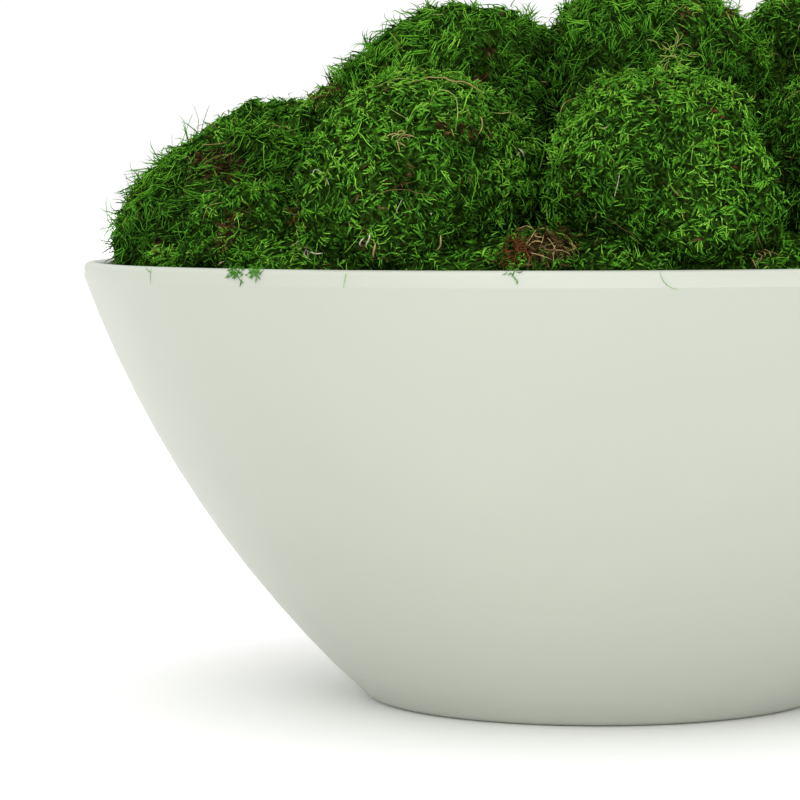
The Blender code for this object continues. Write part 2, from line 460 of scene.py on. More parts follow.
UNDERCOAT = Coat(
    spacing=0.0058,
    blades=5,
    rings=1,
    length_min=0.005,
    length_max=0.009,
    width=0.0020,
    curl_min=0.1,
    curl_max=0.4,
    rise=0.12,
    flow=0.3,
    scatter=0.2,
    spread=2.0,
    tone=0.28,
    dead=0.008,
    pale=0.0,
)
MIDCOAT = Coat(
    spacing=0.0045,
    blades=4,
    rings=2,
    length_min=0.0045,
    length_max=0.0078,
    width=0.0009,
    curl_min=0.9,
    curl_max=2.2,
    hug=0.5,
    rise=0.45,
    spread=0.9,
    tone=0.50,
)
FRINGE = replace(MIDCOAT, spacing=0.0036, blades=5, rise=0.6, droop=0.1, rim_only=1.0)
HAIRS = Coat(
    spacing=0.013,
    blades=1,
    rings=4,
    length_min=0.010,
    length_max=0.022,
    width=0.00035,
    curl_min=0.6,
    curl_max=2.2,
    rise=0.32,
    hug=0.5,
    tone=0.70,
    dead=0.04,
    pale=0.03,
)
SCRAPS = Coat(
    spacing=0.008,
    blades=2,
    rings=2,
    length_min=0.003,
    length_max=0.007,
    width=0.0014,
    rise=0.5,
    tone=0.20,
    dead=0.9,
    rot_only=1.0,
)


class MossKind(Enum):
    """The kinds of moss in the bowl, with the coats that each is made of."""

    SHEET = (UNDERCOAT, MIDCOAT, Coat(), HAIRS, SCRAPS, FRINGE)
    GRASSY = (
        UNDERCOAT,
        replace(MIDCOAT, flow=1.4, flow_scale=22.0, spread=0.6, length_max=0.011),
        Coat(
            length_min=0.007,
            length_max=0.016,
            width=0.0006,
            curl_min=0.5,
            curl_max=2.0,
            rise=0.5,
            flow=1.4,
            flow_scale=22.0,
            scatter=0.5,
            spread=0.6,
            dead=0.03,
        ),
        replace(HAIRS, spacing=0.009, length_max=0.026, rise=0.55),
        SCRAPS,
        FRINGE,
    )
    MOOD = (
        UNDERCOAT,
        replace(
            MIDCOAT,
            length_min=0.008,
            length_max=0.013,
            width=0.0007,
            curl_min=0.8,
            curl_max=1.8,
            rise=0.35,
            flow=2.4,
            flow_scale=24.0,
            scatter=0.2,
            spread=0.3,
        ),
        Coat(
            length_min=0.008,
            length_max=0.015,
            width=0.0006,
            curl_min=1.2,
            curl_max=2.8,
            rise=0.5,
            hug=0.35,
            flow=2.4,
            flow_scale=24.0,
            scatter=0.45,
            spread=0.35,
            lock=0.80,
            dead=0.010,
        ),
        HAIRS,
        SCRAPS,
    )
    DRY = (
        replace(UNDERCOAT, tone=0.24, dead=0.5),
        Coat(length_max=0.011, tone=0.28, dead=0.45, pale=0.02),
        replace(SCRAPS, rot_only=0.0, spacing=0.007),
        FRINGE,
    )
    LITTER = (
        replace(UNDERCOAT, spacing=0.0080, blades=4, rise=0.3, tone=0.30, dead=0.03),
        replace(MIDCOAT, spacing=0.0090, length_max=0.010, rise=0.9, tone=0.48, dead=0.02),
        replace(FRINGE, spacing=0.0042, length_max=0.010, rise=1.0, droop=0.0),
    )


class GrowthTree:
    """A geometry node tree with named inputs, and short calls for its attributes.

    Every attribute that a tree keeps for its own use starts with its prefix, and is removed
    at the end.
    """

    PREFIX = "moss_"
    KINDS = {int: "NodeSocketInt", float: "NodeSocketFloat", tuple: "NodeSocketVector"}

    def __init__(self, name: str, inputs: Mapping[str, type], material: bpy.types.Material) -> None:
        """Start a tree with a geometry in and out.

        Args:
            name: The tree's name.
            inputs: The kind of each named input.
            material: The finish that the tree gives to all that it makes.
        """
        self.material = material
        self.tree = bpy.data.node_groups.new(name, "GeometryNodeTree")
        self.sheet = NodeSheet(self.tree)
        face = self.tree.interface
        face.new_socket("Geometry", in_out="INPUT", socket_type="NodeSocketGeometry")
        for label, kind in inputs.items():
            face.new_socket(label, in_out="INPUT", socket_type=self.KINDS[kind])
        face.new_socket("Geometry", in_out="OUTPUT", socket_type="NodeSocketGeometry")
        self.keys = {s.name: s.identifier for s in face.items_tree if s.in_out == "INPUT"}
        self.given = self.sheet.node("NodeGroupInput").outputs

    def store(
        self, geometry: object, name: str, kind: str, value: object, domain: str = "POINT"
    ) -> bpy.types.NodeSocket:
        """Store a named attribute and return the geometry."""
        inputs = {"Geometry": geometry, "Name": name, "Value": value}
        made = self.sheet.node("GeometryNodeStoreNamedAttribute", inputs, data_type=kind, domain=domain)
        return made.outputs[0]

    def named(self, name: str, kind: str) -> bpy.types.NodeSocket:
        """Read a named attribute."""
        made = self.sheet.node("GeometryNodeInputNamedAttribute", {"Name": name}, data_type=kind)
        return self.sheet.first(made)

    def place(self) -> bpy.types.NodeSocket:
        """Read each element's position."""
        return self.sheet.node("GeometryNodeInputPosition").outputs[0]

    def end(self, *parts: bpy.types.NodeSocket) -> None:
        """Join the parts, clear the tree's own attributes, smooth, dress and hand them out."""
        sheet = self.sheet
        joined = sheet.node("GeometryNodeJoinGeometry")
        for part in parts:
            self.tree.links.new(part, joined.inputs[0])
        whole = sheet.node("GeometryNodeRealizeInstances", {0: joined.outputs[0]})
        inputs = {"Geometry": whole.outputs[0], "Name": self.PREFIX + "*"}
        bare = sheet.node("GeometryNodeRemoveAttribute", inputs, pattern_mode="WILDCARD")
        smooth = sheet.node("GeometryNodeSetShadeSmooth", {"Geometry": bare.outputs[0]})
        inputs = {"Geometry": smooth.outputs[0], "Material": self.material}
        dressed = sheet.node("GeometryNodeSetMaterial", inputs)
        self.tree.links.new(dressed.outputs[0], sheet.node("NodeGroupOutput").inputs[0])

    def run(self, base: bpy.types.Object, rounds: Iterable[Mapping[str, object]]) -> bmesh.types.BMesh:
        """Run the tree on an object once for each round of inputs, and join what it makes.

        Args:
            base: The object that the tree starts from; it is used up.
            rounds: The inputs of each round, by their names.

        Returns:
            All that was made, as one shape.
        """
        modifier = base.modifiers.new(self.tree.name, "NODES")
        modifier.node_group = self.tree
        made = bmesh.new()
        for inputs in rounds:
            for name, value in inputs.items():
                modifier[self.keys[name]] = value
            base.update_tag()
            bpy.context.view_layer.update()
            graph = bpy.context.evaluated_depsgraph_get()
            mesh = bpy.data.meshes.new_from_object(base.evaluated_get(graph), depsgraph=graph)
            made.from_mesh(mesh)
            bpy.data.meshes.remove(mesh)
        base.modifiers.clear()
        bpy.data.objects.remove(base)
        return made

    def finish(self, name: str, shape: bmesh.types.BMesh) -> bpy.types.Object:
        """Turn what the tree made into a plain object with the tree's finish."""
        made = link_mesh(name, shape)
        made.data.materials.append(self.material)
        return made


class ShootTree(GrowthTree):
    """The node tree that grows one coat of shoots on a mat.

    It scatters sprigs over the mat, splits each in blades, gives every blade an aim, a
    bend, a length and a hue, stands a slim three-sided spindle on each and bends it in an arc.
    """

    SINK = 0.0003
    SIDES = 3
    DENSEST = 600000.0
    TILE = 0.028
    ROTTEN = 0.66
    OPEN = "moss_open"
    ROT = "moss_rot"
    LUMP = "moss_lump"
    RIM = "moss_rim"

    def __init__(self, material: bpy.types.Material) -> None:
        """Draw up the tree.

        Args:
            material: The finish that the tree gives to all that it makes.
        """
        inputs = {each.name: type(each.default) for each in fields(Coat)}
        super().__init__("moss_shoots", {**inputs, "bare_mat": int}, material)
        self.draws = 0
        blades = self.split_in_blades(self.scatter_sprigs())
        blades = self.tint_blades(self.aim_blades(blades))
        spindles = self.bend_spindles(self.stand_spindles(blades))
        bare = self.sheet.math("GREATER_THAN", self.given["bare_mat"], 0.5)
        mat = self.sheet.node("GeometryNodeSwitch", {"Switch": bare}, input_type="GEOMETRY")
        self.sheet.feed(self.sheet.find_input(mat, "True"), self.map_mat(self.given["Geometry"]))
        self.end(self.sheet.first(mat), self.map_spindles(spindles))

    def draw(self, low: object, high: object, owner: object = None) -> bpy.types.NodeSocket:
        """Add a random draw that no other draw repeats.

        Args:
            low: The least value; a tuple draws a vector.
            high: The greatest value.
            owner: What each draw belongs to; the element's own index if left out.

        Returns:
            The drawn value's socket.
        """
        sheet = self.sheet
        self.draws += 1
        owner = sheet.node("GeometryNodeInputIndex").outputs[0] if owner is None else owner
        seed = sheet.math("MULTIPLY_ADD", self.given["seed"], 101.0, float(self.draws))
        kind = "FLOAT_VECTOR" if isinstance(low, tuple) else "FLOAT"
        made = sheet.node("FunctionNodeRandomValue", data_type=kind)
        for name, value in (("Min", low), ("Max", high), ("ID", owner), ("Seed", seed)):
            sheet.feed(sheet.find_input(made, name), value)
        return sheet.first(made)

    def draw_direction(self, owner: object = None) -> bpy.types.NodeSocket:
        """Draw a vector from -1 to 1 on each axis."""
        return self.draw((-1.0, -1.0, -1.0), (1.0, 1.0, 1.0), owner)

    def scatter_sprigs(self) -> bpy.types.NodeSocket:
        """Spread sprigs evenly over the open parts of the mat, or only where it rots or meets the rim."""
        sheet = self.sheet
        factor = self.named(self.OPEN, "FLOAT")
        for name, chosen in ((self.ROT, "rot_only"), (self.RIM, "rim_only")):
            less = sheet.math("SUBTRACT", self.named(name, "FLOAT"), 1.0)
            factor = sheet.math("MULTIPLY", factor, sheet.math("MULTIPLY_ADD", self.given[chosen], less, 1.0))
        inputs = {
            "Mesh": self.given["Geometry"],
            "Distance Min": self.given["spacing"],
            "Density Max": self.DENSEST,
            "Density Factor": factor,
            "Seed": self.given["seed"],
        }
        made = sheet.node("GeometryNodeDistributePointsOnFaces", distribute_method="POISSON")
        for name, value in inputs.items():
            sheet.feed(sheet.find_input(made, name), value)
        return self.store(made.outputs["Points"], "moss_up", "FLOAT_VECTOR", made.outputs["Normal"])

    def split_in_blades(self, sprigs: bpy.types.NodeSocket) -> bpy.types.NodeSocket:
        """Give each sprig its number, then several blades."""
        sheet = self.sheet
        number = sheet.node("GeometryNodeInputIndex").outputs[0]
        sprigs = self.store(sprigs, "moss_sprig", "INT", number)
        inputs = {"Geometry": sprigs, "Amount": self.given["blades"]}
        return sheet.node("GeometryNodeDuplicateElements", inputs, domain="POINT").outputs[0]

    def aim_blades(self, blades: bpy.types.NodeSocket) -> bpy.types.NodeSocket:
        """Give each blade its root, aim, bend, length and curl."""
        sheet, given = self.sheet, self.given
        up = self.named("moss_up", "FLOAT_VECTOR")
        sprig = self.named("moss_sprig", "INT")
        place = self.place()
        drift = sheet.noise(place, given["flow_scale"], 1.0).outputs["Color"]
        drift = sheet.scale(sheet.vector("SUBTRACT", drift, (0.5, 0.5, 0.5)), 3.0)
        turn = sheet.vector("CROSS_PRODUCT", (0.0, 0.0, 1.0), up)
        flat = sheet.add(
            sheet.scale(drift, given["flow"]),
            given["comb"],
            sheet.scale(turn, given["swirl"]),
            sheet.scale(self.draw_direction(), given["spread"]),
            sheet.scale(self.draw_direction(sprig), given["scatter"]),
            sheet.combine(0.0, 0.0, sheet.math("MULTIPLY", given["droop"], -1.0)),
        )
        lift = sheet.math("MULTIPLY", given["rise"], self.draw(0.3, 1.6))
        aim = sheet.vector("NORMALIZE", sheet.add(sheet.across(flat, up), sheet.scale(up, lift)))
        sag = sheet.combine(0.0, 0.0, sheet.math("MULTIPLY", given["sag"], -1.0))
        hug = sheet.scale(up, sheet.math("MULTIPLY", given["hug"], -1.0))
        together = sheet.scale(self.draw_direction(sprig), given["lock"])
        apart = sheet.scale(self.draw_direction(), sheet.math("SUBTRACT", 1.0, given["lock"]))
        bend = sheet.across(sheet.add(together, apart, sag, hug), aim)
        shift = sheet.scale(self.draw_direction(), given["clump"])
        root = sheet.add(place, shift, sheet.scale(up, -self.SINK))
        for name, kind, value in (
            ("moss_root", "FLOAT_VECTOR", root),
            ("moss_aim", "FLOAT_VECTOR", aim),
            ("moss_bend", "FLOAT_VECTOR", bend),
            ("moss_length", "FLOAT", self.draw(given["length_min"], given["length_max"])),
            ("moss_curl", "FLOAT", self.draw(given["curl_min"], given["curl_max"])),
        ):
            blades = self.store(blades, name, kind, value)
        return blades

    def tint_blades(self, blades: bpy.types.NodeSocket) -> bpy.types.NodeSocket:
        """Give each blade its hue: drifting patches, its own change, painted light on top and painted shade in
        shut-in places and hollows, and a few dead or pale.
        """
        sheet, given = self.sheet, self.given
        place = self.place()
        rot = self.named(self.ROT, "FLOAT")
        patch = sheet.math("SUBTRACT", sheet.noise(place, 26.0, 3.0).outputs[0], 0.5)
        sprig = self.named("moss_sprig", "INT")
        own = sheet.math("MULTIPLY", self.draw(-1.0, 1.0), given["tone_spread"])
        hue = sheet.math("MULTIPLY_ADD", patch, given["tone_patch"], given["tone"])
        hue = sheet.math("MULTIPLY_ADD", self.draw(-1.0, 1.0, sprig), given["tone_lock"], hue)
        # Painted light and shade: the hue rises on upward-facing shoots and on the mat's ridges, and falls where the
        # moss is shut in and in its hollows.
        upward = sheet.split(self.named("moss_up", "FLOAT_VECTOR"))[2]
        shut = sheet.math("SUBTRACT", self.named(self.OPEN, "FLOAT"), 1.0)
        for value, name in ((upward, "top_light_tone"), (shut, "shut_in_shade_tone"), (self.named(self.LUMP, "FLOAT"), "lump_shade_tone")):
            hue = sheet.math("MULTIPLY_ADD", value, given[name], hue)
        hue = sheet.math("ADD", hue, own)
        hue = sheet.math("MULTIPLY_ADD", rot, -0.22, hue)
        hue = sheet.math("MINIMUM", sheet.math("MAXIMUM", hue, 0.17), 0.865)
        brown = sheet.map_range(sheet.noise(place, 45.0, 2.0).outputs[0], 0.45, 0.65, 0.3, 3.0)
        odds = sheet.math("MULTIPLY_ADD", rot, 0.45, sheet.math("MULTIPLY", given["dead"], brown))
        is_dead = sheet.math("LESS_THAN", self.draw(0.0, 1.0), odds)
        is_pale = sheet.math("LESS_THAN", self.draw(0.0, 1.0), given["pale"])
        for chosen, tone in ((is_dead, self.draw(0.01, 0.13)), (is_pale, self.draw(0.92, 0.985))):
            pick = sheet.node("GeometryNodeSwitch", {"Switch": chosen}, input_type="FLOAT")
            sheet.feed(sheet.find_input(pick, "False"), hue)
            sheet.feed(sheet.find_input(pick, "True"), tone)
            hue = sheet.first(pick)
        return self.store(blades, "moss_hue", "FLOAT", hue)

    def stand_spindles(self, blades: bpy.types.NodeSocket) -> bpy.types.NodeSocket:
        """Stand a unit spindle on each blade's point, or a plain spike for a coat of one ring.

        Each knows how far along and how far round every point of it is.
        """
        sheet = self.sheet
        inputs = {"Segments": self.SIDES, "Rings": self.given["rings"], "Radius": 1.0}
        ball = sheet.node("GeometryNodeMeshUVSphere", inputs)
        sizes = {"Vertices": self.SIDES, "Radius Top": 0.0, "Radius Bottom": 1.0, "Depth": 2.0}
        cone = sheet.node("GeometryNodeMeshCone", sizes)
        lower = {"Geometry": cone.outputs["Mesh"], "Translation": (0.0, 0.0, -1.0)}
        spike = sheet.node("GeometryNodeTransform", lower)
        round_one = sheet.math("GREATER_THAN", self.given["rings"], 1.5)
        shape = sheet.node("GeometryNodeSwitch", {"Switch": round_one}, input_type="GEOMETRY")
        sheet.feed(sheet.find_input(shape, "False"), spike.outputs[0])
        sheet.feed(sheet.find_input(shape, "True"), ball.outputs[0])
        x, y, z = sheet.split(self.place())
        spoke = sheet.vector("NORMALIZE", sheet.combine(x, y, 0.0))
        along = sheet.math("MULTIPLY_ADD", z, 0.5, 0.5)
        spindle = self.store(sheet.first(shape), "moss_along", "FLOAT", along)
        spindle = self.store(spindle, "moss_spoke", "FLOAT_VECTOR", spoke)
        stood = sheet.node("GeometryNodeInstanceOnPoints", {"Points": blades, "Instance": spindle})
        return sheet.node("GeometryNodeRealizeInstances", {0: stood.outputs[0]}).outputs[0]

    def bend_spindles(self, spindles: bpy.types.NodeSocket) -> bpy.types.NodeSocket:
        """Move every spindle's points on to its own arc, with a leaf's width along it."""
        sheet = self.sheet
        aim = self.named("moss_aim", "FLOAT_VECTOR")
        bend = self.named("moss_bend", "FLOAT_VECTOR")
        length = self.named("moss_length", "FLOAT")
        curl = self.named("moss_curl", "FLOAT")
        along = self.named("moss_along", "FLOAT")
        spoke = sheet.split(self.named("moss_spoke", "FLOAT_VECTOR"))
        angle = sheet.math("MULTIPLY", curl, along)
        sine, cosine = sheet.math("SINE", angle), sheet.math("COSINE", angle)
        radius = sheet.math("DIVIDE", length, curl)
        ahead = sheet.scale(aim, sheet.math("MULTIPLY", radius, sine))
        fallen = sheet.math("MULTIPLY", radius, sheet.math("SUBTRACT", 1.0, cosine))
        flank = sheet.vector("CROSS_PRODUCT", bend, aim)
        back = sheet.vector("SUBTRACT", sheet.scale(bend, cosine), sheet.scale(aim, sine))
        half = sheet.math("MULTIPLY", self.given["width"], 0.577)
        wide = sheet.math("MULTIPLY", sheet.math("MULTIPLY_ADD", along, -0.45, 1.15), half)
        sideways = sheet.scale(flank, sheet.math("MULTIPLY", wide, spoke[0]))
        through = sheet.scale(back, sheet.math("MULTIPLY", sheet.math("MULTIPLY", wide, spoke[1]), 0.7))
        root = self.named("moss_root", "FLOAT_VECTOR")
        place = sheet.add(root, ahead, sheet.scale(bend, fallen), sideways, through)
        inputs = {"Geometry": spindles, "Position": place}
        return sheet.node("GeometryNodeSetPosition", inputs).outputs[0]

    def map_spindles(self, spindles: bpy.types.NodeSocket) -> bpy.types.NodeSocket:
        """Lay each spindle on the map as a slim strip: its hue across, root to tip along."""
        sheet = self.sheet
        spoke = sheet.split(self.named("moss_spoke", "FLOAT_VECTOR"))
        lean = sheet.math("MULTIPLY_ADD", spoke[1], 0.4, spoke[0])
        across = sheet.math("MULTIPLY_ADD", lean, 0.0035, self.named("moss_hue", "FLOAT"))
        along = sheet.math("MULTIPLY_ADD", self.named("moss_along", "FLOAT"), 0.46, 0.53)
        return self.store(spindles, HUE_MAP, "FLOAT2", sheet.combine(across, along, 0.0), "CORNER")

    def map_mat(self, mat: bpy.types.NodeSocket) -> bpy.types.NodeSocket:
        """Lay the mat on the map's turf, tile by tile, on the rotten half where it is rotten.

        A face is laid flat along the axis that it faces most, so that the turf isn't stretched.
        """
        sheet = self.sheet
        place = self.place()
        middle = self.on_face(place, "FLOAT_VECTOR")
        normal = self.on_face(sheet.node("GeometryNodeInputNormal").outputs[0], "FLOAT_VECTOR")
        x, y, z = sheet.split(sheet.vector("ABSOLUTE", normal))
        is_level = sheet.math("GREATER_THAN", z, sheet.math("MAXIMUM", x, y))
        sideways = sheet.math("MULTIPLY", sheet.math("GREATER_THAN", x, y), sheet.math("SUBTRACT", 1.0, is_level))
        corner, centre = sheet.split(place), sheet.split(middle)
        laid = []
        for first, second, chosen in ((0, 1, sideways), (2, 1, is_level)):
            here, there = (
                sheet.math("MULTIPLY_ADD", chosen, sheet.math("SUBTRACT", of[second], of[first]), of[first])
                for of in (corner, centre)
            )
            tile = sheet.math("FLOOR", sheet.math("DIVIDE", there, self.TILE))
            inside = sheet.math("SUBTRACT", sheet.math("DIVIDE", here, self.TILE), tile)
            laid.append(sheet.map_range(inside, -0.15, 1.15, 0.02, 0.48))
        patch = sheet.noise(middle, 45.0, 3.0).outputs[0]
        rot = sheet.math("MULTIPLY_ADD", self.on_face(self.named(self.ROT, "FLOAT"), "FLOAT"), 0.3, patch)
        across = sheet.math("MULTIPLY_ADD", sheet.math("GREATER_THAN", rot, self.ROTTEN), 0.5, laid[0])
        return self.store(mat, HUE_MAP, "FLOAT2", sheet.combine(across, laid[1], 0.0), "CORNER")

    def on_face(self, value: bpy.types.NodeSocket, kind: str) -> bpy.types.NodeSocket:
        """The value that a whole face has."""
        made = self.sheet.node("GeometryNodeFieldOnDomain", {"Value": value}, data_type=kind, domain="FACE")
        return self.sheet.first(made)

    def grow(self, mat: bpy.types.Object, name: str, coats: Sequence[Coat]) -> bpy.types.Object:
        """Grow coats of shoots on a mat, as one plain mesh.

        Args:
            mat: The object to grow them on; it is used up.
            name: The finished piece's name.
            coats: The coats, the lowest first.

        Returns:
            The finished piece.
        """
        names = [each.name for each in fields(Coat)]
        rounds = [
            {**{name: getattr(coat, name) for name in names}, "bare_mat": int(index == 0)}
            for index, coat in enumerate(coats)
        ]
        return self.finish(name, self.run(mat, rounds))


class StrandTree(GrowthTree):
    """The node tree that sweeps a tapered strand along every line of a mesh.

    Each point of a line carries the strand's width and its hue on the moss's map.
    """

    SIDES = 3
    WIDTH = "moss_width"
    HUE = "moss_hue"

    def __init__(self, material: bpy.types.Material) -> None:
        """Draw up the tree.

        Args:
            material: The finish that the tree gives to all that it makes.
        """
        super().__init__("moss_strands", {"taper": float, "darkest": float, "brightest": float}, material)
        sheet, given = self.sheet, self.given
        line = sheet.node("GeometryNodeMeshToCurve", {"Mesh": given["Geometry"]}).outputs[0]
        share = sheet.node("GeometryNodeSplineParameter").outputs["Factor"]
        line = self.store(line, "moss_along", "FLOAT", share)
        middle = sheet.math("MULTIPLY_ADD", share, 2.0, -1.0)
        thinned = sheet.math("MULTIPLY", sheet.math("MULTIPLY", middle, middle), given["taper"])
        scale = sheet.math("MULTIPLY", self.named(self.WIDTH, "FLOAT"), sheet.math("SUBTRACT", 1.0, thinned))
        ring = sheet.node("GeometryNodeCurvePrimitiveCircle", {"Resolution": self.SIDES, "Radius": 0.5})
        side = sheet.split(self.place())[0]
        ring = self.store(ring.outputs[0], "moss_side", "FLOAT", side)
        inputs = {"Curve": line, "Profile Curve": ring, "Scale": scale, "Fill Caps": True}
        swept = sheet.node("GeometryNodeCurveToMesh", inputs).outputs[0]
        across = sheet.math("MULTIPLY_ADD", self.named("moss_side", "FLOAT"), 0.007, self.named(self.HUE, "FLOAT"))
        # Painted shade: each strand grows lighter from its first point to its last, read through the shoots' ramp of
        # painted root shade and tip highlight.
        shade = sheet.map_range(self.named("moss_along", "FLOAT"), 0.0, 1.0, given["darkest"], given["brightest"])
        self.end(self.store(swept, HUE_MAP, "FLOAT2", sheet.combine(across, shade, 0.0), "CORNER"))


@dataclass(frozen=True)
class StudioCamera:
    """The camera that took the photograph."""

    place: tuple[float, float, float] = (0.0, -1.751, 0.2569)
    yaw: float = 0.0555
    pitch: float = 0.0621
    roll: float = -0.0051
    lens: float = 156.96
    sensor: float = 36.0

    def axes(self) -> tuple[Vector, Vector, Vector]:
        """The camera's right, up and forward directions."""
        ahead = Vector((-math.sin(self.yaw), math.cos(self.yaw), 0)) * math.cos(self.pitch)
        ahead.z = -math.sin(self.pitch)
        right = Vector((math.cos(self.yaw), math.sin(self.yaw), 0))
        up = right.cross(ahead)
        side = right * math.cos(self.roll) + up * math.sin(self.roll)
        top = up * math.cos(self.roll) - right * math.sin(self.roll)
        return side, top, ahead

    def sight(self, pixel: Pixel) -> Vector:
        """The direction in which the camera sees a pixel of the photograph."""
        side, top, ahead = self.axes()
        reach = self.lens / self.sensor * PHOTO_SIDE
        half = PHOTO_SIDE / 2
        aimed = ahead + side * ((pixel[0] - half) / reach) + top * ((half - pixel[1]) / reach)
        return aimed.normalized()

    def make(self) -> bpy.types.Object:
        """Place the camera and let the scene look through it.

        Returns:
            The camera.
        """
        side, top, ahead = self.axes()
        data = bpy.data.cameras.new("camera")
        data.lens = self.lens
        data.sensor_width = self.sensor
        data.clip_end = 200.0
        camera = bpy.data.objects.new("camera", data)
        turn = Matrix((side, top, -ahead)).transposed().to_4x4()
        camera.matrix_world = Matrix.Translation(self.place) @ turn
        bpy.context.scene.collection.objects.link(camera)
        bpy.context.scene.camera = camera
        return camera


@dataclass
class GlazedBowl:
    """The bowl, turned finely over the solid of the same profile."""

    finish: GlazeFinish = field(default_factory=GlazeFinish)
    wall: float = 0.0075
    floor: float = 0.010
    lip_band: float = 0.0075
    lip_round: float = 0.0030
    angle_top: float = 19.7
    angle_foot: float = 47.1
    foot_fillet: float = 0.011
    foot_ring: float = 0.014
    foot_recess: float = 0.0025
    crease: float = 15.0
    segments: int = 144
    wall_steps: int = 12
    corner_steps: int = 5

    def __post_init__(self) -> None:
        """Read the rim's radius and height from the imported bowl."""
        low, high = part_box("bowl")
        self.rim_radius = (high.x - low.x) / 2
        self.height = high.z

    def bend(self) -> tuple[float, float, float]:
        """The wall arc's radius, and its centre's radius and height."""
        upper, lower = math.radians(self.angle_top), math.radians(self.angle_foot)
        top = self.height - self.lip_band
        foot = self.foot_fillet * (1 - math.sin(lower))
        radius = (top - foot) / (math.sin(lower) - math.sin(upper))
        return radius, self.rim_radius - radius * math.cos(upper), top + radius * math.sin(upper)

    def arc(self, depth: float, lower: float) -> list[tuple[float, float]]:
        """Points down the wall at a depth under its outer face.

        Args:
            depth: How deep under the outer face.
            lower: The last point's angle below level, in radians.

        Returns:
            Points as radius and height.
        """
        radius, across, up = self.bend()
        upper = math.radians(self.angle_top)
        steps = [upper + (lower - upper) * i / self.wall_steps for i in range(self.wall_steps + 1)]
        reach = radius - depth
        return [(across + reach * math.cos(a), up - reach * math.sin(a)) for a in steps]

    def corner(
        self, across: float, up: float, radius: float, start: float, end: float
    ) -> list[tuple[float, float]]:
        """Points on a round corner.

        Args:
            across: The centre's radius.
            up: The centre's height.
            radius: The corner's own radius.
            start: The first angle, in degrees.
            end: The last angle.

        Returns:
            Points as radius and height.
        """
        shares = [i / self.corner_steps for i in range(self.corner_steps + 1)]
        steps = [math.radians(start + (end - start) * share) for share in shares]
        return [(across + radius * math.cos(a), up + radius * math.sin(a)) for a in steps]

    def profile(self) -> list[tuple[float, float]]:
        """The bowl's outline, from the floor's centre over the rim to the foot's centre."""
        radius, _, up = self.bend()
        inner = self.arc(self.wall, math.asin((up - self.floor) / (radius - self.wall)))
        outer = self.arc(0.0, math.radians(self.angle_foot))
        lip = self.lip_round
        level = self.height - lip
        inner_lip = self.corner(inner[0][0] + lip, level, lip, 180, 90)
        outer_lip = self.corner(self.rim_radius - lip, level, lip, 90, 0)
        foot = outer[-1][0] - self.foot_fillet * math.cos(math.radians(self.angle_foot))
        fillet = self.corner(foot, self.foot_fillet, self.foot_fillet, -self.angle_foot, -90)
        recess = foot - self.foot_ring
        base = [(recess, 0.0), (recess - self.foot_recess, self.foot_recess), (0.0, self.foot_recess)]
        return [(0.0, self.floor), *inner[::-1], *inner_lip, *outer_lip, *outer, *fillet[1:], *base]

    def make(self) -> bpy.types.Object:
        """Turn the bowl and glaze it.

        Returns:
            The bowl's piece.
        """
        shape = bmesh.new()
        points = [shape.verts.new((radius, 0, height)) for radius, height in self.profile()]
        edges = [shape.edges.new(pair) for pair in zip(points, points[1:])]
        bmesh.ops.spin(
            shape,
            geom=points + edges,
            cent=(0, 0, 0),
            axis=(0, 0, 1),
            angle=2 * math.pi,
            steps=self.segments,
            use_merge=True,
        )
        bmesh.ops.remove_doubles(shape, verts=shape.verts, dist=WELD / 10)
        bmesh.ops.recalc_face_normals(shape, faces=shape.faces)
        made = link_mesh("glazed_bowl", shape)
        made.data.shade_smooth()
        made.data.set_sharp_from_angle(angle=math.radians(self.crease))
        made.data.materials.append(self.finish.make())
        return dress(made, "glaze", "bowl")


@dataclass(frozen=True)
class Hollow:
    """A dark or rusty hollow in the moss, where the photograph shows it."""

    centre: Pixel
    reach: float
    depth: float = 0.003
    rot: float = 0.6


@dataclass(frozen=True)
class Cushion:
    """One moss cushion: the solid that it dresses, its kind of moss and what is its own."""

    node: str
    kind: MossKind
    tone_shift: float = 0.0
    comb: tuple[float, float, float] = (0.0, 0.0, 0.0)
    swirl: float = 0.0
    share: float = 1.0
    most_rings: int = 4

    def coats(self, number: int) -> list[Coat]:
        """The kind's coats with this cushion's own tone, comb, share of shoots and seed."""
        return [
            replace(
                coat,
                rings=min(coat.rings, self.most_rings),
                tone=coat.tone + self.tone_shift,
                comb=self.comb,
                swirl=self.swirl,
                spacing=coat.spacing / math.sqrt(self.share),
                seed=number * 10 + index,
            )
            for index, coat in enumerate(self.kind.value)
        ]


